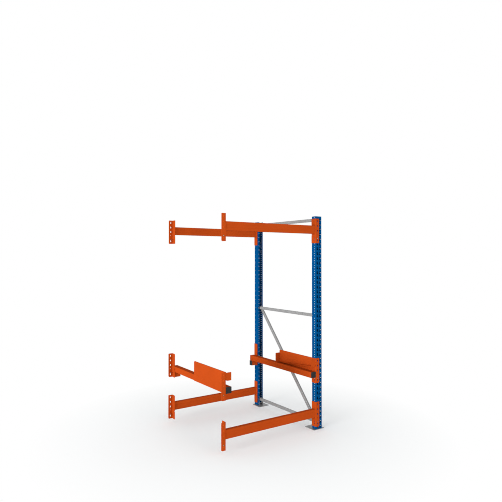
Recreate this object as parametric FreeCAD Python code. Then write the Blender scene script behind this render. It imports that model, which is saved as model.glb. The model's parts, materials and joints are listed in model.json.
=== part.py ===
# Add-on bay of a hook-in storage rack.
#
# One upright frame stands on the right. Two deep beams at the top, two at the bottom and a pair
# of fore-and-aft bearers in between hook onto it. On the left the same connectors stand free,
# ready to hook onto the frame of the neighbouring bay.
#
# +X runs across the bay towards the frame, +Y from the front to the rear, +Z up. The origin is
# on the floor, in the middle of the footprint. Every piece of the front right corner is drawn
# once, and its left and rear twins are mirrored from it.

import FreeCAD, Part
import math
import os

Vector = FreeCAD.Vector
X_AXIS = Vector(1, 0, 0)
Y_AXIS = Vector(0, 1, 0)
Z_AXIS = Vector(0, 0, 1)
CUT = 1                     # how far a cutter stands out of the face that it cuts
SLIVER = 0.01               # shortest straight edge left between two roundings

# ---- Driving dimensions, in millimetres ----

# The bay
bay_width = 1100            # clear width between the uprights of two neighbouring frames
frame_depth = 1100          # over the webs of the front and rear upright
rack_height = 2212          # floor to the top of the uprights

# Uprights: an open profile with inward lips and two legs that hold the bracing
upright_width = 84
upright_depth = 58          # web to lips
upright_sheet = 2
upright_bend = 2            # inner bend radius
flange_joggle = 3           # the rear part of each flange steps in by this
joggle_start = 36
joggle_end = 40
leg_inset = 16              # flange face to leg face
leg_length = 17             # how far the legs stand out of the lips
slot_pitch = 50
first_slot = 25             # floor to the middle of the first slot
slot_inset = 22.5           # flange face to the middle of a slot column
# Outline of a slot from its middle: a wide upper part, and a tail that leans away from the flange
slot_corners = [(-8.5, 15.5), (-8.5, -9), (-2, -12), (8, -18.5), (15.5, -18.5), (15.5, -9.5),
                (8.5, -2), (8.5, 15.5)]
slot_radii = [5, 4, 3, 3.4, 3.4, 3.4, 5, 5]
side_hole_pitch = 25
first_side_hole = 25        # floor to the first hole in the flanges and legs
flange_hole_radius = 4
bolt_hole_radius = 4.5      # legs, braces, spacers and tabs
flange_hole_inset = 20      # web face to the holes in the flanges
leg_hole_inset = 67         # web face to the holes in the legs

# Footplates
footplate_sheet = 5
footplate_overhang = 28     # to each side of the upright
footplate_front = 5         # in front of the web
footplate_depth = 145
plate_corner = 6
tab_sheet = 3
tab_height = 45
tab_depth = 22
tab_gap = 1                 # lips of the upright to the tab
tab_corner = 8
foot_bolt_height = 25
anchor_radius = 7
anchor_spacing = 88
anchor_inset = 118          # web face to the anchor holes
shim_hole_radius = 4
shim_hole_spacing = 116
shim_hole_inset = 86

# Bracing: lipped channels with their closed side to the bay. The diagonal lies behind the level
# ones and runs from the lowest bolt of the front upright to the middle bolt of the rear one.
brace_width = 20
brace_height = 32
brace_sheet = 1.5
brace_bend = 1.5
brace_lip = 8
brace_overhang = 14         # bolt to the end of the brace
bottom_brace_height = 75
middle_brace_height = 1175
top_brace_height = 2175
spacer_radius = 12

# M8 fasteners
bolt_radius = 4
hexagon_width = 13
bolt_head = 5.3
nut_height = 6.5
thread_end = 2              # thread left standing out of the nut
corner_turning = 0.4        # how much of a hexagon's outer face is turned off inside its flats
turning_slope = 0.7         # how fast the turned cone widens along the hexagon

# Connectors: angles that wrap round the corner of an upright
connector_sheet = 4
connector_height = 255
connector_bend = 2
side_leg = 58               # along the flange of the upright
web_leg = 44                # over the web of the upright
bottom_level = 32           # floor to the underside of each connector
middle_level = 482
top_level = 1932
connector_corner = 6
window_inset = 22.5         # flange face to the windows and the pin
hook_inset = 31.5           # flange face to the hooks, which hang in the tails of the slots
hook_sheet = 4
hook_slots = (1, 3, 4, 5)   # which slots above the connector's foot hold a hook
hook_top = -5.5             # all three from the middle of the slot
hook_bottom = -16
hook_point = -24
hook_reach = 5
hook_radii = [0, 0, 0.8, 2, 3, 0]
hook_gap = 0.6              # rear face of the web to the hook
pin_slot = 1
pin_rise = 6.5              # middle of the slot to the axis of the locking pin
small_hole_rise = 93
small_hole_radius = 3.2
window_width = 14
window_height = 19
window_drop = 14            # middle of the slot to the middle of the window beside its hook
side_slot = (12, 24, 18.5, 57)      # low and high corner, from the web face and the connector's foot
side_notch = (49, 82, 59, 91)
side_slot_corner = 2

# Locking pins
pin_radius = 3.5
pin_clearance = 0.05
pin_head_radius = 4.6
pin_head_height = 3.5
pin_head_gap = 0.3
pin_reach = 12              # how far the pin stands behind the face of the web
pin_point = 2               # rounding of the pin's end
head_rounding = 1.2
head_edge = 0.4             # rounding under the head

# Beams
beam_height = 85
beam_depth = 42
beam_wall = 2
beam_corner = 4
beam_rise = 97              # underside of the connector to the underside of the beam
swage_depth = 1.5
swage_low = 27
swage_high = 58
swage_slope = 3
swage_radius = 2

# Bearers across the depth of the bay, with a guide plate and a folded tray over the front half
bar_size = 60
bar_wall = 3
bar_corner = 4
bar_underside = 541
guide_sheet = 4
guide_length = 600
guide_top = 738
guide_corner = 14
tray_sheet = 3
tray_front_line = 657       # height of the tray's ledge at the front
tray_rear_line = 605        # and at the rear
tray_ledge = 33
tray_bend = 18
front_flange_top = 732
rear_flange_top = 707
rear_flange_chamfer = 8
flange_corner = 3
arm_depth = 50
arm_height = 55
arm_length = 66
cap_thickness = 4
cap_corner = 4
cap_rim = 7                 # raised rim round the sunk middle of a cap
cap_sink = 1
cap_sink_corner = 6
cap_plug = 14
plug_corner = 2
plug_clearance = 0.4
plug_wall = 2

# ---- Places worked out from them ----

total_width = bay_width + web_leg + upright_width + footplate_overhang
face_x = total_width / 2 - footplate_overhang - upright_width   # bay-side face of the uprights
web_y = -frame_depth / 2                                         # face of the front web
bay_middle = Vector(face_x - bay_width / 2, 0, 0)
upright_middle = face_x + upright_width / 2
beam_span = bay_width - 2 * connector_sheet
brace_y = web_y + leg_hole_inset


# ---- Drawing helpers ----

def in_xy(height):
    """Drawing plane parallel to the floor."""
    return lambda across, along: Vector(across, along, height)


def in_xz(depth):
    """Upright drawing plane facing the front."""
    return lambda across, up: Vector(across, depth, up)


def in_yz(across):
    """Upright drawing plane facing the side."""
    return lambda along, up: Vector(across, along, up)


def rounded_face(corners, radii, place):
    """Flat face with the given corners, each rounded by its own radius."""
    count = len(corners)
    points = [Vector(u, v, 0) for u, v in corners]
    bends = []
    for i, here in enumerate(points):
        if radii[i] == 0:
            bends.append((here, None, here))
            continue
        back = (points[i - 1] - here).normalize()
        ahead = (points[(i + 1) % count] - here).normalize()
        half_angle = back.getAngle(ahead) / 2
        reach = radii[i] / math.tan(half_angle)
        bisector = (back + ahead).normalize()
        middle = here + bisector * (radii[i] / math.sin(half_angle) - radii[i])
        bends.append((here + back * reach, middle, here + ahead * reach))
    edges = []
    for i, (start, middle, end) in enumerate(bends):
        if middle is not None:
            edges.append(Part.Arc(*[place(p.x, p.y) for p in (start, middle, end)]).toShape())
        following = bends[(i + 1) % count][0]
        if end.distanceToPoint(following) > 1e-6:
            edges.append(Part.makeLine(place(end.x, end.y), place(following.x, following.y)))
    return Part.Face(Part.Wire(edges))


def slab(corners, radii, place, direction):
    """Rounded outline extruded by a vector. One number stands for the same radius all round."""
    if not isinstance(radii, (list, tuple)):
        radii = [radii] * len(corners)
    return rounded_face(corners, radii, place).extrude(direction)


def rectangle(low_u, low_v, high_u, high_v):
    """Four corners, anticlockwise from the lower left."""
    return [(low_u, low_v), (high_u, low_v), (high_u, high_v), (low_u, high_v)]


def folded_strip(centreline, sheet, bend, place, direction):
    """Sheet folded along a centreline, then extruded by a vector."""
    points = [Vector(u, v, 0) for u, v in centreline]
    runs = [(b - a).normalize() for a, b in zip(points, points[1:])]
    sides = {1: [], -1: []}
    for side, outline in sides.items():
        for i, point in enumerate(points):
            before = runs[max(i - 1, 0)]
            after = runs[min(i, len(runs) - 1)]
            normal_before = Vector(-before.y, before.x, 0)
            normal_after = Vector(-after.y, after.x, 0)
            mitre = (normal_before + normal_after) * (1 / (1 + normal_before.dot(normal_after)))
            corner = point + mitre * (side * sheet / 2)
            turn = before.cross(after).z * side
            radius = 0 if abs(turn) < 1e-9 else bend if turn > 0 else bend + sheet
            outline.append(((corner.x, corner.y), radius))
    closed = sides[1] + sides[-1][::-1]
    return slab([corner for corner, _ in closed], [radius for _, radius in closed], place, direction)


def tube(low_u, low_v, high_u, high_v, wall, corner, place, direction):
    """Rectangular hollow section."""
    outside = slab(rectangle(low_u, low_v, high_u, high_v), corner, place, direction)
    inside = slab(rectangle(low_u + wall, low_v + wall, high_u - wall, high_v - wall),
                  corner - wall / 2, place, direction)
    return outside.cut(inside)


def rod(radius, start, direction):
    """Cylinder from a start point along a vector."""
    return Part.makeCylinder(radius, direction.Length, start, direction)


def obround(width, height, centre, depth):
    """Upright round-ended slot, cut from front to rear."""
    corners = rectangle(centre.x - width / 2, centre.z - height / 2,
                        centre.x + width / 2, centre.z + height / 2)
    return slab(corners, width / 2 - SLIVER, in_xz(centre.y), Y_AXIS * depth)


def to_left(shape):
    """Twin on the left side of the bay."""
    return shape.mirror(bay_middle, X_AXIS)


def to_rear(shape):
    """Twin at the rear of the rack."""
    return shape.mirror(Vector(0, 0, 0), Y_AXIS)


def at_corner(shape, row, side):
    """Move a piece of the front right corner to any corner of the bay."""
    if side == "left":
        shape = to_left(shape)
    if row == "rear":
        shape = to_rear(shape)
    return shape


# ---- Upright frame ----

def teardrop_slot(mirrored, height):
    """Cutter for one slot of the web. The two columns of slots mirror each other."""
    flip = -1 if mirrored else 1
    middle_x = face_x + (upright_width - slot_inset if mirrored else slot_inset)
    placed = [(middle_x + flip * u, height + v) for u, v in slot_corners]
    return slab(placed, slot_radii, in_xz(web_y - CUT), Y_AXIS * (upright_sheet + 2 * CUT))


def make_upright():
    """Front upright with its slots and holes."""
    half = upright_sheet / 2
    leg_line = leg_inset + half
    lip_line = upright_depth - half
    right_half = [(0, half), (half, half), (half, joggle_start), (half + flange_joggle, joggle_end),
                  (half + flange_joggle, lip_line), (leg_line, lip_line),
                  (leg_line, upright_depth + leg_length)]
    bay_side = [(face_x + u, web_y + v) for u, v in right_half[1:]]
    far_side = [(face_x + upright_width - u, web_y + v) for u, v in right_half[1:]]
    upright = folded_strip(bay_side[::-1] + far_side, upright_sheet, upright_bend,
                           in_xy(footplate_sheet), Z_AXIS * (rack_height - footplate_sheet))
    cutters = []
    for height in range(first_slot, rack_height - slot_pitch // 2, slot_pitch):
        cutters.append(teardrop_slot(False, height))
        cutters.append(teardrop_slot(True, height))
    for inset, radius in ((flange_hole_inset, flange_hole_radius), (leg_hole_inset, bolt_hole_radius)):
        for height in range(first_side_hole, rack_height - side_hole_pitch // 4, side_hole_pitch):
            start = Vector(face_x - CUT, web_y + inset, height)
            cutters.append(rod(radius, start, X_AXIS * (upright_width + 2 * CUT)))
    return upright.cut(Part.makeCompound(cutters))


def make_footplate():
    """Base plate with two tabs that are bolted between the legs of the upright."""
    low_x = face_x - footplate_overhang
    high_x = face_x + upright_width + footplate_overhang
    low_y = web_y - footplate_front
    plate = slab(rectangle(low_x, low_y, high_x, low_y + footplate_depth), plate_corner,
                 in_xy(0), Z_AXIS * footplate_sheet)
    inner_face = leg_inset + upright_sheet
    tab_front = web_y + upright_depth + tab_gap
    tab_outline = rectangle(tab_front, footplate_sheet / 2, tab_front + tab_depth, tab_height)
    for tab_x in (face_x + inner_face, face_x + upright_width - inner_face - tab_sheet):
        tab = slab(tab_outline, [0, 0, tab_corner, tab_corner], in_yz(tab_x), X_AXIS * tab_sheet)
        plate = plate.fuse(tab)
    holes = [rod(bolt_hole_radius, Vector(face_x, brace_y, foot_bolt_height), X_AXIS * upright_width)]
    for radius, spacing, inset in ((anchor_radius, anchor_spacing, anchor_inset),
                                   (shim_hole_radius, shim_hole_spacing, shim_hole_inset)):
        for side in (-1, 1):
            start = Vector(upright_middle + side * spacing / 2, web_y + inset, -CUT)
            holes.append(rod(radius, start, Z_AXIS * (footplate_sheet + 2 * CUT)))
    return plate.cut(Part.makeCompound(holes)).removeSplitter()


def make_brace(length):
    """Lipped channel along +Y from the origin, with a hole at each end. It opens to +X."""
    half = brace_sheet / 2
    side = brace_width / 2 - half
    top = brace_height / 2 - half
    lip = brace_height / 2 - brace_lip
    section = [(side, -lip), (side, -top), (-side, -top), (-side, top), (side, top), (side, lip)]
    brace = folded_strip(section, brace_sheet, brace_bend, in_xz(-brace_overhang),
                         Y_AXIS * (length + 2 * brace_overhang))
    holes = [rod(bolt_hole_radius, Vector(-brace_width, along, 0), X_AXIS * brace_width)
             for along in (0, length)]
    return brace.cut(Part.makeCompound(holes))


def place_brace(side, front_height, rear_height):
    """Brace between two bolts, in the half of the legs towards the bay (-1) or away from it (1)."""
    run = -2 * brace_y
    rise = rear_height - front_height
    brace = make_brace(math.hypot(run, rise))
    brace.rotate(Vector(0, 0, 0), X_AXIS, math.degrees(math.atan2(rise, run)))
    brace.translate(Vector(upright_middle + side * brace_width / 2, brace_y, front_height))
    return brace


def hexagon(start, length):
    """Hexagonal head or nut along +X."""
    corner_radius = hexagon_width / math.sqrt(3)
    corners = [Vector(start.x, start.y + corner_radius * math.sin(math.radians(60 * i)),
                      start.z + corner_radius * math.cos(math.radians(60 * i))) for i in range(7)]
    prism = Part.Face(Part.makePolygon(corners)).extrude(X_AXIS * length)
    # The corners of the hexagon are turned off on the outer face
    small_end = hexagon_width / 2 - corner_turning
    dome = Part.makeCone(small_end + length * turning_slope, small_end, length, start, X_AXIS)
    return prism.common(dome)


def leg_bolt(along, height):
    """Bolt through both legs of an upright, head towards the bay."""
    head_face = face_x + leg_inset
    far_face = face_x + upright_width - leg_inset
    shank = rod(bolt_radius, Vector(head_face, along, height),
                X_AXIS * (far_face + nut_height + thread_end - head_face))
    head = hexagon(Vector(-head_face, along, height), bolt_head)
    head = head.mirror(Vector(0, 0, 0), X_AXIS)
    return shank.fuse(head).removeSplitter()


def leg_nut(along, height):
    """Nut on the far end of a leg bolt."""
    start = Vector(face_x + upright_width - leg_inset, along, height)
    return hexagon(start, nut_height).cut(rod(bolt_radius, start, X_AXIS * nut_height))


def brace_spacers(along, height, shared):
    """Two rings that fill the gaps between the legs and one brace, or two on a shared bolt."""
    rings = []
    inner_face = leg_inset + upright_sheet
    far_side = upright_middle + (brace_width if shared else 0)
    for start_x, end_x in ((face_x + inner_face, upright_middle - brace_width),
                           (far_side, face_x + upright_width - inner_face)):
        start = Vector(start_x, along, height)
        length = X_AXIS * (end_x - start_x)
        rings.append(rod(spacer_radius, start, length).cut(rod(bolt_hole_radius, start, length)))
    return rings


# ---- Connectors and locking pins ----

def slot_height(level, number):
    """Middle of a slot, counted up from the foot of a connector."""
    return level - (level - first_slot) % slot_pitch + slot_pitch * number


def make_hook(height):
    """Hook through the tail of one slot, dropped behind the web."""
    front = web_y - connector_sheet / 2
    behind = web_y + upright_sheet + hook_gap
    tip = behind + hook_reach
    outline = [(front, height + hook_bottom), (behind, height + hook_bottom),
               (behind, height + hook_point), (tip, height + hook_point + hook_reach),
               (tip, height + hook_top), (front, height + hook_top)]
    return slab(outline, hook_radii, in_yz(face_x + hook_inset - hook_sheet / 2),
                X_AXIS * hook_sheet)


def make_connector(level, foot_radius):
    """Angle with hooks, for the front right corner of one level."""
    half = connector_sheet / 2
    line_x = face_x - half
    line_y = web_y - half
    angle = folded_strip([(line_x, web_y + side_leg), (line_x, line_y), (face_x + web_leg, line_y)],
                         connector_sheet, connector_bend, in_xy(level), Z_AXIS * connector_height)
    top = level + connector_height
    outer_x = face_x - connector_sheet
    outer_y = web_y - connector_sheet
    # Both free edges are trimmed to rounded outlines
    side_trim = slab(rectangle(outer_y - CUT, level, web_y + side_leg, top),
                     [0, connector_corner, connector_corner, 0],
                     in_yz(outer_x - CUT), X_AXIS * (connector_sheet + web_leg + 2 * CUT))
    web_trim = slab(rectangle(outer_x - CUT, level, face_x + web_leg, top),
                    [0, foot_radius, connector_corner, 0],
                    in_xz(outer_y - CUT), Y_AXIS * (connector_sheet + side_leg + 2 * CUT))
    angle = angle.common(side_trim).common(web_trim)

    through_web = Y_AXIS * (connector_sheet + 2 * CUT)
    through_side = X_AXIS * (connector_sheet + 2 * CUT)
    column_x = face_x + window_inset
    cutters = []
    for number in hook_slots:
        centre = Vector(column_x, outer_y - CUT, slot_height(level, number) - window_drop)
        cutters.append(obround(window_width, window_height, centre, connector_sheet + 2 * CUT))
    pin_start = Vector(column_x, outer_y - CUT, slot_height(level, pin_slot) + pin_rise)
    cutters.append(rod(pin_radius + pin_clearance, pin_start, through_web))
    small_hole = Vector(column_x, outer_y - CUT, level + small_hole_rise)
    cutters.append(rod(small_hole_radius, small_hole, through_web))
    for low_y, low_z, high_y, high_z in (side_slot, side_notch):
        outline = rectangle(web_y + low_y, level + low_z, web_y + high_y, level + high_z)
        cutters.append(slab(outline, side_slot_corner, in_yz(outer_x - CUT), through_side))
    connector = angle.cut(Part.makeCompound(cutters))
    for number in hook_slots:
        connector = connector.fuse(make_hook(slot_height(level, number)))
    return connector.removeSplitter()


def make_locking_pin(level):
    """Pin above the lowest hook. It stops the hook from lifting out of its slot."""
    axis_x = face_x + window_inset
    height = slot_height(level, pin_slot) + pin_rise
    head_y = web_y - connector_sheet - pin_head_gap
    tip_y = web_y + pin_reach
    profile = [(0, head_y - pin_head_height), (pin_head_radius, head_y - pin_head_height),
               (pin_head_radius, head_y), (pin_radius, head_y),
               (pin_radius, tip_y), (0, tip_y)]
    radii = [0, head_rounding, head_edge, 0, pin_point, 0]
    face = rounded_face(profile, radii, lambda out, along: Vector(axis_x + out, along, height))
    return face.revolve(Vector(axis_x, 0, height), Y_AXIS, 360)


# ---- Beams ----

def beam_section(inset):
    """Corners of a beam's section, moved inward by the inset."""
    front = inset
    back = beam_depth - inset
    low = inset
    high = beam_height - inset
    dip = swage_depth
    slope = swage_slope
    return [(front, low), (back, low), (back, swage_low), (back - dip, swage_low + slope),
            (back - dip, swage_high - slope), (back, swage_high), (back, high), (front, high),
            (front, swage_high), (front + dip, swage_high - slope),
            (front + dip, swage_low + slope), (front, swage_low)]


def make_beam(level):
    """Front beam of one level: a closed section with a shallow swage along both faces."""
    start_x = face_x - connector_sheet - beam_span
    solids = []
    for inset, corner in ((0, beam_corner), (beam_wall, beam_corner - beam_wall)):
        corners = [(web_y + v, level + beam_rise + w) for v, w in beam_section(inset)]
        radii = 2 * ([corner] * 2 + [swage_radius] * 4)
        solids.append(slab(corners, radii, in_yz(start_x), X_AXIS * beam_span))
    return solids[0].cut(solids[1])


# ---- Bearers ----

bar_outer = face_x - connector_sheet        # side of the bar against the connectors
bar_inner = bar_outer - bar_size
bar_top = bar_underside + bar_size
bar_length = frame_depth + 2 * connector_sheet - 2 * cap_thickness


def make_bar():
    """Square tube across the depth of the bay."""
    return tube(bar_inner, bar_underside, bar_outer, bar_top, bar_wall, bar_corner,
                in_xz(-bar_length / 2), Y_AXIS * bar_length)


def make_cap(low_u, low_v, high_u, high_v, wall, place, outward):
    """Push-in cap: a rounded lid with a sunk middle and a hollow plug behind it."""
    def block(inset, corner, depth):
        corners = rectangle(low_u + inset, low_v + inset, high_u - inset, high_v - inset)
        return slab(corners, corner, place, outward * depth)

    lid = block(0, cap_corner, cap_thickness)
    sunk = block(cap_rim, cap_sink_corner, cap_sink)
    sunk.translate(outward * (cap_thickness - cap_sink))
    gap = wall + plug_clearance
    plug = block(gap, plug_corner, -cap_plug)
    hollow = block(gap + plug_wall, plug_corner - plug_wall / 2, -cap_plug)
    return lid.cut(sunk).fuse(plug.cut(hollow)).removeSplitter()


def make_bar_cap():
    """Cap in the front end of the bar."""
    return make_cap(bar_inner, bar_underside, bar_outer, bar_top, bar_wall,
                    in_xz(-bar_length / 2), -Y_AXIS)


def make_guide_plate():
    """Flat plate welded to the outer side of the bar, behind the connector."""
    start_y = web_y + side_leg
    end_y = web_y + guide_length
    return slab(rectangle(start_y, bar_underside, end_y, guide_top), [0, 0, guide_corner, 0],
                in_yz(bar_outer), X_AXIS * guide_sheet)


def make_guide_tray():
    """Folded tray over the bar: a web, a sloping ledge and a flange at each end."""
    half = tray_sheet / 2
    web_line = bar_outer - half
    ledge_end = bar_outer - tray_ledge
    slope = Vector(0, guide_length, tray_rear_line - tray_front_line)
    section = [(web_line, guide_top + tray_front_line - tray_rear_line),
               (web_line, tray_front_line + half), (ledge_end, tray_front_line + half)]
    folded = folded_strip(section, tray_sheet, tray_bend, in_xz(web_y), slope)
    keep = slab(rectangle(web_y, 0, web_y + guide_length, guide_top), [0, 0, guide_corner, 0],
                in_yz(bar_inner), X_AXIS * bar_size)
    front_outline = rectangle(bar_inner, tray_front_line, bar_outer, front_flange_top)
    corner = flange_corner
    front_flange = slab(front_outline, [corner, tray_bend + tray_sheet, corner, 2 * corner],
                        in_xz(web_y), Y_AXIS * tray_sheet)
    rear_outline = [(bar_inner + rear_flange_chamfer, tray_rear_line), (bar_outer, tray_rear_line),
                    (bar_outer, rear_flange_top), (bar_inner, rear_flange_top),
                    (bar_inner, tray_rear_line + rear_flange_chamfer)]
    rear_flange = slab(rear_outline, [corner, tray_bend, corner, 2 * corner, 2 * corner],
                       in_xz(web_y + guide_length - tray_sheet), Y_AXIS * tray_sheet)
    return folded.common(keep).fuse([front_flange, rear_flange]).removeSplitter()


arm_front = -web_y - arm_depth
arm_tip = bar_outer - arm_length


def make_rear_arm():
    """Short tube that stands out of the rear connector and carries the bar."""
    return tube(arm_front, bar_underside - arm_height, -web_y, bar_underside, bar_wall, bar_corner,
                in_yz(arm_tip), X_AXIS * arm_length)


def make_arm_cap():
    """Cap in the free end of the rear arm."""
    return make_cap(arm_front, bar_underside - arm_height, -web_y, bar_underside, bar_wall,
                    in_yz(arm_tip), -X_AXIS)


# ---- Assembly ----

def make_frame():
    """Uprights, footplates, bracing and their fasteners."""
    upright = make_upright()
    footplate = make_footplate()
    brace_points = [(along, height) for along in (brace_y, -brace_y)
                    for height in (bottom_brace_height, middle_brace_height, top_brace_height)]
    foot_points = [(brace_y, foot_bolt_height), (-brace_y, foot_bolt_height)]
    diagonal_points = [(brace_y, bottom_brace_height), (-brace_y, middle_brace_height)]
    spacers = [ring for point in brace_points
               for ring in brace_spacers(*point, point in diagonal_points)]
    return {
        "front_upright": upright,
        "rear_upright": to_rear(upright),
        "front_footplate": footplate,
        "rear_footplate": to_rear(footplate),
        "bottom_brace": place_brace(-1, bottom_brace_height, bottom_brace_height),
        "middle_brace": place_brace(-1, middle_brace_height, middle_brace_height),
        "top_brace": place_brace(-1, top_brace_height, top_brace_height),
        "diagonal_brace": place_brace(1, bottom_brace_height, middle_brace_height),
        "brace_bolts": Part.makeCompound([leg_bolt(*point) for point in brace_points]),
        "brace_nuts": Part.makeCompound([leg_nut(*point) for point in brace_points]),
        "brace_spacers": Part.makeCompound(spacers),
        "foot_bolts": Part.makeCompound([leg_bolt(*point) for point in foot_points]),
        "foot_nuts": Part.makeCompound([leg_nut(*point) for point in foot_points]),
    }


def make_levels():
    """Beams, connectors and locking pins of all three levels."""
    pieces = {}
    for name, level, foot_radius in (("bottom", bottom_level, 12), ("middle", middle_level, 16),
                                     ("top", top_level, 8)):
        connector = make_connector(level, foot_radius)
        pin = make_locking_pin(level)
        for row in ("front", "rear"):
            for side in ("left", "right"):
                corner = f"{name}_{row}_{side}"
                pieces[f"{corner}_connector"] = at_corner(connector, row, side)
                pieces[f"{corner}_pin"] = at_corner(pin, row, side)
        if name != "middle":
            beam = make_beam(level)
            pieces[f"{name}_front_beam"] = beam
            pieces[f"{name}_rear_beam"] = to_rear(beam)
    return pieces


def make_bearers():
    """Both bearers with their guides, rear arms and caps."""
    bar_cap = make_bar_cap()
    pieces = {
        "bearer_bar": make_bar(),
        "bar_front_cap": bar_cap,
        "bar_rear_cap": to_rear(bar_cap),
        "guide_plate": make_guide_plate(),
        "guide_tray": make_guide_tray(),
        "rear_arm": make_rear_arm(),
        "arm_cap": make_arm_cap(),
    }
    bearers = {}
    for name, shape in pieces.items():
        bearers[f"right_{name}"] = shape
        bearers[f"left_{name}"] = to_left(shape)
    return bearers


def main():
    os.makedirs("parts", exist_ok=True)
    for pieces in (make_frame(), make_levels(), make_bearers()):
        for name, shape in pieces.items():
            shape.exportStep(f"parts/{name}.step")


main()
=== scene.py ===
"""Looks of the rack bay: materials, weld beads, floor, lights and camera."""

import json
import math

import bmesh
import bpy
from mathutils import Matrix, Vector


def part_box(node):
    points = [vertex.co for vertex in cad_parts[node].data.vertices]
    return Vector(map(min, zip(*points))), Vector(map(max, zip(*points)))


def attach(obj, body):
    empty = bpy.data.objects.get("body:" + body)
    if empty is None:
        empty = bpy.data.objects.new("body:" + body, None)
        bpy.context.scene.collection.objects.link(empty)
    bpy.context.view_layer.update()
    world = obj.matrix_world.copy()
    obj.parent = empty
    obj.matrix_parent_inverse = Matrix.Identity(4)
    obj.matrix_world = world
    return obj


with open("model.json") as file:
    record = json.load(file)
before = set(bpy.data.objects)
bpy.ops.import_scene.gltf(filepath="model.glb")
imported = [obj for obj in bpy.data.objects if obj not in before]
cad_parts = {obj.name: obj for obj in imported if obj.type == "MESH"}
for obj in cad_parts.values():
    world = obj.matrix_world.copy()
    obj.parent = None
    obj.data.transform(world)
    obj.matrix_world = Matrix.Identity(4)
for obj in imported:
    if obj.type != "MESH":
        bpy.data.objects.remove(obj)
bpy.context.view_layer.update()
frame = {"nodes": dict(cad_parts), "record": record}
RECORD = frame["record"]
NODES = frame["nodes"]
MM = 0.001


# ---- Shader helpers ----

NOISE_LOW, NOISE_HIGH = 0.3, 0.7    # nearly all values of a noise lie between these
BEVEL_SAMPLES = 4
FLAT_COSINE = 0.995         # bevelled against flat normal: above this a face counts as flat
EDGE_COSINE = 0.8           # and below this it is fully an edge


class Shader:
    """A node material under construction, with short calls for the nodes that it needs."""

    def __init__(self, name):
        self.material = bpy.data.materials.new(name)
        self.material.use_nodes = True
        self.nodes = self.material.node_tree.nodes
        self.links = self.material.node_tree.links
        self.surface = self.nodes["Principled BSDF"]
        self.place = self.nodes.new("ShaderNodeTexCoord").outputs["Object"]

    def set(self, socket, value):
        """Give one of the surface's sockets a fixed value."""
        self.surface.inputs[socket].default_value = value

    def connect(self, output, socket):
        """Drive one of the surface's sockets from another node."""
        self.links.new(output, self.surface.inputs[socket])

    def stretch(self, scale):
        """Object coordinates scaled along each axis."""
        node = self.nodes.new("ShaderNodeMapping")
        node.inputs["Scale"].default_value = scale
        self.links.new(self.place, node.inputs["Vector"])
        return node.outputs["Vector"]

    def noise(self, size, detail=2.0, roughness=0.5, place=None):
        """Noise with features of about the given size, in metres."""
        node = self.nodes.new("ShaderNodeTexNoise")
        node.inputs["Scale"].default_value = 1 / size
        node.inputs["Detail"].default_value = detail
        node.inputs["Roughness"].default_value = roughness
        self.links.new(place or self.place, node.inputs["Vector"])
        return node.outputs["Fac"]

    def cells(self, size, output="Color", feature="F1"):
        """Voronoi cells of about the given size, in metres."""
        node = self.nodes.new("ShaderNodeTexVoronoi")
        node.feature = feature
        node.inputs["Scale"].default_value = 1 / size
        self.links.new(self.place, node.inputs["Vector"])
        return node.outputs[output]

    def spread(self, value, low, high, to_low=0.0, to_high=1.0):
        """Values between low and high, mapped and clamped to another range."""
        node = self.nodes.new("ShaderNodeMapRange")
        limits = {"From Min": low, "From Max": high, "To Min": to_low, "To Max": to_high}
        for name, number in limits.items():
            node.inputs[name].default_value = number
        self.links.new(value, node.inputs["Value"])
        return node.outputs["Result"]

    def clouds(self, size, detail=3.0, to_low=0.0, to_high=1.0):
        """Soft noise that uses the whole of the given range."""
        return self.spread(self.noise(size, detail), NOISE_LOW, NOISE_HIGH, to_low, to_high)

    def math(self, operation, first, second):
        """Sum, product or the like of two values, each a number or another node's output."""
        node = self.nodes.new("ShaderNodeMath")
        node.operation = operation
        for socket, value in zip(node.inputs, (first, second)):
            if isinstance(value, (int, float)):
                socket.default_value = value
            else:
                self.links.new(value, socket)
        return node.outputs["Value"]

    def mix(self, factor, first, second):
        """Mix of two colours, each a tuple or another node's output."""
        node = self.nodes.new("ShaderNodeMix")
        node.data_type = "RGBA"
        for socket, value in (("Factor_Float", factor), ("A_Color", first), ("B_Color", second)):
            target = next(s for s in node.inputs if s.identifier == socket)
            if isinstance(value, tuple):
                target.default_value = (*value, 1.0)
            else:
                self.links.new(value, target)
        return next(s for s in node.outputs if s.identifier == "Result_Color")

    def edges(self, radius):
        """1 on edges and corners, 0 on flat faces."""
        rounded = self.nodes.new("ShaderNodeBevel")
        rounded.samples = BEVEL_SAMPLES
        rounded.inputs["Radius"].default_value = radius
        flat = self.nodes.new("ShaderNodeNewGeometry")
        dot = self.nodes.new("ShaderNodeVectorMath")
        dot.operation = "DOT_PRODUCT"
        self.links.new(rounded.outputs["Normal"], dot.inputs[0])
        self.links.new(flat.outputs["Normal"], dot.inputs[1])
        return self.spread(dot.outputs["Value"], FLAT_COSINE, EDGE_COSINE)

    def bump(self, height, distance, strength, below=None):
        """Bump by a height, with the given depth in metres, on top of another bump."""
        node = self.nodes.new("ShaderNodeBump")
        node.inputs["Distance"].default_value = distance
        node.inputs["Strength"].default_value = strength
        self.links.new(height, node.inputs["Height"])
        if below is not None:
            self.links.new(below, node.inputs["Normal"])
        return node.outputs["Normal"]


# ---- Materials, one for each slot of the record ----

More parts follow.
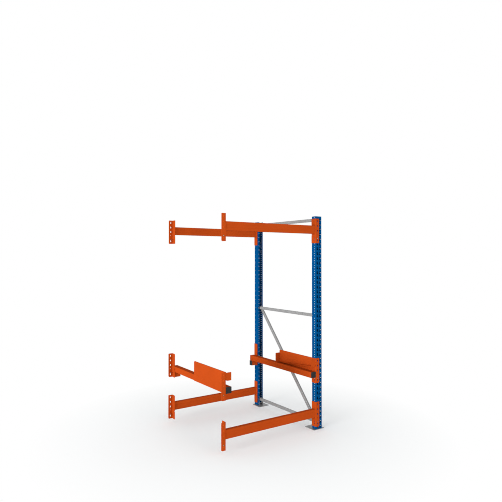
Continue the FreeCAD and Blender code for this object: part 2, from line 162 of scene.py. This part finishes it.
def powder_coat(name, colour, worn_colour):
    """Powder-coated steel: nearly even colour, orange peel, and thinner paint on the edges."""
    coat = Shader(name)
    darker = tuple(c * 0.93 for c in colour)
    lighter = tuple(min(1.0, c * 1.06) for c in colour)
    paint = coat.mix(coat.clouds(220 * MM), darker, lighter)
    # Handling marks: a few faint, dull scuffs
    scuff_noise = coat.noise(45 * MM, 6.0, 0.65, coat.stretch((1.0, 1.0, 3.0)))
    scuff = coat.spread(scuff_noise, 0.62, 0.74)
    paint = coat.mix(coat.math("MULTIPLY", scuff, 0.06), paint, worn_colour)
    # Paint is rubbed thin on the edges, in patches
    patches = coat.spread(coat.noise(18 * MM, 4.0, 0.6), 0.50, 0.64)
    worn = coat.math("MULTIPLY", coat.edges(1.0 * MM), patches)
    paint = coat.mix(coat.math("MULTIPLY", worn, 0.35), paint, worn_colour)
    coat.connect(paint, "Base Color")
    sheen = coat.clouds(70 * MM, 4.0, 0.48, 0.60)
    coat.connect(coat.math("ADD", sheen, coat.math("MULTIPLY", scuff, 0.12)), "Roughness")
    peel = coat.bump(coat.noise(2.2 * MM, 1.0), 0.05 * MM, 0.2)
    coat.connect(coat.bump(coat.noise(30 * MM), 0.2 * MM, 0.2, peel), "Normal")
    # A faint sheen in the colour of the paint itself, with no pale rim where a face is seen aslant
    coat.set("Specular IOR Level", 0.0)
    coat.set("Metallic", 0.07)
    return coat.material


def galvanised():
    """Hot-dip galvanised strip with a spangle of zinc crystals."""
    zinc = Shader("galvanised_steel")
    spangle = 11 * MM
    crystal = zinc.cells(spangle)
    colour = zinc.mix(zinc.spread(crystal, 0.0, 1.0), (0.250, 0.250, 0.250), (0.335, 0.335, 0.335))
    dull = zinc.math("MULTIPLY", zinc.clouds(60 * MM), 0.35)
    zinc.connect(zinc.mix(dull, colour, (0.215, 0.215, 0.215)), "Base Color")
    zinc.connect(zinc.spread(crystal, 0.0, 1.0, 0.44, 0.56), "Roughness")
    zinc.set("Metallic", 0.75)
    border = zinc.spread(zinc.cells(spangle, "Distance", "DISTANCE_TO_EDGE"), 0.0, 0.06)
    fine = zinc.bump(zinc.noise(1.5 * MM), 0.04 * MM, 0.2)
    zinc.connect(zinc.bump(border, 0.05 * MM, 0.2, fine), "Normal")
    return zinc.material


def zinc_plate():
    """Zinc-plated fasteners: fine turned lines and duller patches."""
    zinc = Shader("zinc_hardware")
    blotch = zinc.spread(zinc.noise(6 * MM, 4.0), 0.35, 0.65)
    zinc.connect(zinc.mix(blotch, (0.20, 0.195, 0.185), (0.32, 0.315, 0.30)), "Base Color")
    zinc.connect(zinc.clouds(4 * MM, 3.0, 0.24, 0.42), "Roughness")
    zinc.set("Metallic", 0.9)
    lines = zinc.noise(0.8 * MM, 1.0, 0.5, zinc.stretch((0.2, 0.2, 2.0)))
    zinc.connect(zinc.bump(lines, 0.04 * MM, 0.4), "Normal")
    return zinc.material


def moulded_plastic():
    """Black polyethylene with a spark-eroded mould grain."""
    plastic = Shader("black_plastic")
    colour = plastic.mix(plastic.clouds(20 * MM), (0.008, 0.009, 0.010), (0.014, 0.015, 0.016))
    rub = plastic.math("MULTIPLY", plastic.edges(1.4 * MM), 0.5)
    plastic.connect(plastic.mix(rub, colour, (0.05, 0.052, 0.054)), "Base Color")
    plastic.connect(plastic.clouds(4 * MM, 3.0, 0.46, 0.62), "Roughness")
    plastic.connect(plastic.bump(plastic.noise(0.9 * MM), 0.1 * MM, 0.5), "Normal")
    plastic.set("Specular IOR Level", 0.15)
    return plastic.material


ORANGE = (0.360, 0.048, 0.0062)
WORN_ORANGE = (0.36, 0.10, 0.04)
BLUE = (0.0006, 0.053, 0.168)
WORN_BLUE = (0.04, 0.10, 0.20)
MATERIALS = {
    "orange_paint": powder_coat("orange_paint", ORANGE, WORN_ORANGE),
    "blue_paint": powder_coat("blue_paint", BLUE, WORN_BLUE),
    "galvanised_steel": galvanised(),
    "zinc_hardware": zinc_plate(),
    "black_plastic": moulded_plastic(),
}


def finish_cad_nodes():
    """Give every CAD node the material of its slot."""
    for part in RECORD["subparts"]:
        node = NODES[part["node"]]
        node.data.materials.clear()
        node.data.materials.append(MATERIALS[part["material_slot"]])


# ---- Weld beads ----

BEAD_LEG = 3.0 * MM         # width of a bead on each of the two faces
BEAD_SINK = 1.2 * MM        # how deep its root lies in the metal
BEAD_START = 0.25           # size of a bead at its ends, as a share of its full size
CROWN = 0.92                # radius of the rounded outside, as a share of the leg
CROWN_ANGLES = [math.radians(angle) for angle in (0, 22, 45, 68, 90)]
RIPPLE_PITCH = 2.4 * MM
RIPPLE_STEPS = 4            # rings of points for each ripple
LEAST_STEPS = 8
RIPPLE_HEIGHT = 0.13        # share of the leg
DRIFT_HEIGHT = 0.08         # slow changes in size along a bead, as a share of the leg
DRIFT_WAVE = 190            # radians for each metre along the bead
DRIFT_SHIFT = (40, 0, 23)   # radians for each metre of the start point, so that no two beads match
CORNER_GAP = 4 * MM         # beads stop this far short of a rounded corner
EDGE_GAP = 8 * MM           # and this far short of a connector's edge
STITCHES = 5
STITCH_LENGTH = 32 * MM


class Beads:
    """All weld beads of the rack in one mesh. Each bead is a closed, rippled fillet."""

    def __init__(self):
        self.mesh = bmesh.new()

    def run(self, start, end, along_a, along_b):
        """Bead in the corner line from start to end, between faces that run along two directions."""
        start, end = Vector(start), Vector(end)
        a, b = Vector(along_a), Vector(along_b)
        length = (end - start).length
        direction = (end - start) / length
        shift = start.dot(Vector(DRIFT_SHIFT))
        steps = max(LEAST_STEPS, round(length / RIPPLE_PITCH) * RIPPLE_STEPS)
        rings = []
        for i in range(steps + 1):
            s = length * i / steps
            fade = min(1.0, BEAD_START + s / BEAD_LEG, BEAD_START + (length - s) / BEAD_LEG)
            ripple = 1.0 + RIPPLE_HEIGHT * abs(math.sin(math.pi * s / RIPPLE_PITCH))
            drift = 1.0 + DRIFT_HEIGHT * math.sin(s * DRIFT_WAVE + shift)
            size = BEAD_LEG * fade * ripple * drift * CROWN
            sink = BEAD_SINK * fade
            points = [(a * math.cos(t) + b * math.sin(t)) * size for t in CROWN_ANGLES]
            points += [b * size - a * sink, -(a + b) * sink, a * size - b * sink]
            rings.append([self.mesh.verts.new(start + direction * s + p) for p in points])
        for low, high in zip(rings, rings[1:]):
            for j in range(len(low)):
                k = (j + 1) % len(low)
                self.mesh.faces.new((low[j], low[k], high[k], high[j]))
        self.mesh.faces.new(rings[0][::-1])
        self.mesh.faces.new(rings[-1])

    def piece(self, name, slot):
        """Turn the beads into one smooth piece that stays with the rack."""
        bmesh.ops.recalc_face_normals(self.mesh, faces=self.mesh.faces)
        for face in self.mesh.faces:
            face.smooth = True
        data = bpy.data.meshes.new(name)
        self.mesh.to_mesh(data)
        self.mesh.free()
        piece = bpy.data.objects.new(name, data)
        bpy.context.scene.collection.objects.link(piece)
        piece.data.materials.append(MATERIALS[slot])
        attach(piece, "rack")


def weld_box_end(beads, node, side, open_sides=()):
    """Beads round the left (-1) or right (1) end of a box section, where it meets a plate."""
    low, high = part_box(node)
    inward = Vector((-side, 0, 0))
    for across, along in ((1, 2), (2, 1)):
        for edge in (-1, 1):
            if (across, edge) in open_sides:
                continue
            start, end = Vector(low), Vector(high)
            outward = Vector((0, 0, 0))
            outward[across] = edge
            for point in (start, end):
                point.x = low.x if side < 0 else high.x
                point[across] = low[across] if edge < 0 else high[across]
            start[along] += CORNER_GAP
            end[along] -= CORNER_GAP
            beads.run(start, end, inward, outward)


def weld_bearer(beads, name, side):
    """Beads between a bearer's bar, its rear arm, its guide plate and its connectors."""
    up = Vector((0, 0, 1))
    inward = Vector((-side, 0, 0))
    bar_low, bar_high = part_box(f"{name}_bearer_bar")
    arm_low, arm_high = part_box(f"{name}_rear_arm")
    plate_low, plate_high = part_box(f"{name}_guide_plate")
    outer_x, inner_x = (bar_high.x, bar_low.x) if side > 0 else (bar_low.x, bar_high.x)
    top = bar_high.z
    weld_box_end(beads, f"{name}_rear_arm", side, open_sides=((2, 1), (1, 1)))
    for row in ("front", "rear"):
        leg_low, leg_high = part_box(f"middle_{row}_{name}_connector")
        start_y = max(leg_low.y, bar_low.y) + EDGE_GAP
        end_y = min(leg_high.y, bar_high.y) - EDGE_GAP
        beads.run((outer_x, start_y, top), (outer_x, end_y, top), inward, up)
    beads.run((inner_x, arm_low.y + CORNER_GAP, arm_high.z),
              (inner_x, bar_high.y - CORNER_GAP, arm_high.z), inward, up)
    # Short stitches between the bar and the guide plate
    for i in range(STITCHES):
        middle = plate_low.y + (plate_high.y - plate_low.y) * (i + 0.5) / STITCHES
        beads.run((outer_x, middle - STITCH_LENGTH / 2, top),
                  (outer_x, middle + STITCH_LENGTH / 2, top), inward, up)


def make_welds():
    """Beads where beams, bars, arms and guide plates meet their connectors."""
    beads = Beads()
    for level in ("bottom", "top"):
        for row in ("front", "rear"):
            for side in (-1, 1):
                weld_box_end(beads, f"{level}_{row}_beam", side)
    weld_bearer(beads, "left", -1)
    weld_bearer(beads, "right", 1)
    beads.piece("weld_beads", "orange_paint")


# ---- Stage ----

FLOOR_SIZE = 60
FLOOR_MIDDLE = (0, 6, 0)
# Painted glow: past these distances the floor emits white light of its own, which leaves a painted
# shade round the rack
PAINTED_GLOW_FROM = 0.6              # metres from the middle of the rack where the floor starts to glow
PAINTED_GLOW_BEYOND = 2.15           # and where it glows pure white

LIGHT_TARGET = (0, 0, 1.2)
# Name, place, width, height and power in watts
LIGHTS = (("left_light", (-14.0, -2.5, 1.6), 6.0, 3.0, 2100),
          ("front_light", (0.5, -15.0, 2.0), 6.0, 3.5, 790))

# Height of a direction, from 0 straight down to 1 straight up, and brightness of the surroundings
DIM_ABOVE, DIM_FULLY = 0.50, 0.85
SIDE_BRIGHTNESS, TOP_BRIGHTNESS = 1.0, 0.6

CAMERA_PLACE = (-2.958, -4.385, 1.773)
CAMERA_YAW = math.radians(34.72)        # to the right of straight ahead
CAMERA_PITCH = math.radians(0.86)       # above level
SENSOR_WIDTH = 36
LENS = 35.4
VIEW_DISTANCE = 200


def make_floor():
    """Wide pale floor that turns to a painted white glow away from the rack, so the dimmer floor
    round the rack is painted shade.
    """
    bpy.ops.mesh.primitive_plane_add(size=FLOOR_SIZE, location=FLOOR_MIDDLE)
    floor = bpy.context.object
    floor.name = "floor"
    pale = Shader("pale_floor")
    place = pale.nodes.new("ShaderNodeNewGeometry").outputs["Position"]
    cloud = pale.spread(pale.noise(0.9, 3.0, 0.5, place), NOISE_LOW, NOISE_HIGH)
    pale.connect(pale.mix(cloud, (0.915, 0.945, 0.950), (0.930, 0.960, 0.965)), "Base Color")
    pale.set("Roughness", 0.85)
    pale.set("Specular IOR Level", 0.1)
    distance = pale.nodes.new("ShaderNodeVectorMath")
    distance.operation = "LENGTH"
    pale.links.new(place, distance.inputs[0])
    # Painted glow and shade: the lit floor blends into white emission away from the rack, so the
    # floor near the rack looks darker
    painted_glow_mask = pale.spread(distance.outputs["Value"], PAINTED_GLOW_FROM, PAINTED_GLOW_BEYOND)
    glow = pale.nodes.new("ShaderNodeEmission")
    blend = pale.nodes.new("ShaderNodeMixShader")
    pale.links.new(painted_glow_mask, blend.inputs[0])
    pale.links.new(pale.surface.outputs[0], blend.inputs[1])
    pale.links.new(glow.outputs[0], blend.inputs[2])
    pale.links.new(blend.outputs[0], pale.nodes["Material Output"].inputs["Surface"])
    floor.data.materials.append(pale.material)


def make_light(name, place, width, height, power):
    """Soft light panel aimed at the middle of the rack."""
    data = bpy.data.lights.new(name, "AREA")
    data.shape = "RECTANGLE"
    data.size = width
    data.size_y = height
    data.energy = power
    light = bpy.data.objects.new(name, data)
    light.location = place
    aim = Vector(LIGHT_TARGET) - Vector(place)
    light.rotation_euler = aim.to_track_quat("-Z", "Y").to_euler()
    bpy.context.scene.collection.objects.link(light)


def make_camera():
    """Camera at standing eye height, in front of the bay and to its left."""
    data = bpy.data.cameras.new("camera")
    data.sensor_width = SENSOR_WIDTH
    data.lens = LENS
    data.clip_end = VIEW_DISTANCE
    camera = bpy.data.objects.new("camera", data)
    camera.location = CAMERA_PLACE
    camera.rotation_euler = (math.pi / 2 + CAMERA_PITCH, 0, -CAMERA_YAW)
    bpy.context.scene.collection.objects.link(camera)
    bpy.context.scene.camera = camera


def make_world():
    """White surroundings that are darker overhead, as in a tent lit from its sides."""
    world = bpy.data.worlds.new("studio")
    bpy.context.scene.world = world
    world.use_nodes = True
    nodes = world.node_tree.nodes
    links = world.node_tree.links
    place = nodes.new("ShaderNodeTexCoord")
    split = nodes.new("ShaderNodeSeparateXYZ")
    ramp = nodes.new("ShaderNodeMapRange")
    limits = {"From Min": DIM_ABOVE, "From Max": DIM_FULLY,
              "To Min": SIDE_BRIGHTNESS, "To Max": TOP_BRIGHTNESS}
    for name, number in limits.items():
        ramp.inputs[name].default_value = number
    links.new(place.outputs["Generated"], split.inputs["Vector"])
    links.new(split.outputs["Z"], ramp.inputs["Value"])
    links.new(ramp.outputs["Result"], nodes["Background"].inputs["Strength"])
    nodes["Background"].inputs["Color"].default_value = (1, 1, 1, 1)


def main():
    finish_cad_nodes()
    make_welds()
    make_floor()
    make_world()
    make_camera()
    for light in LIGHTS:
        make_light(*light)
    scene = bpy.context.scene
    scene.view_settings.view_transform = "Standard"
    # Slots and holes are smaller than a pixel: a narrow pixel filter and unfiltered guides keep them
    scene.cycles.filter_width = 1.0
    scene.cycles.denoising_prefilter = "NONE"


main()
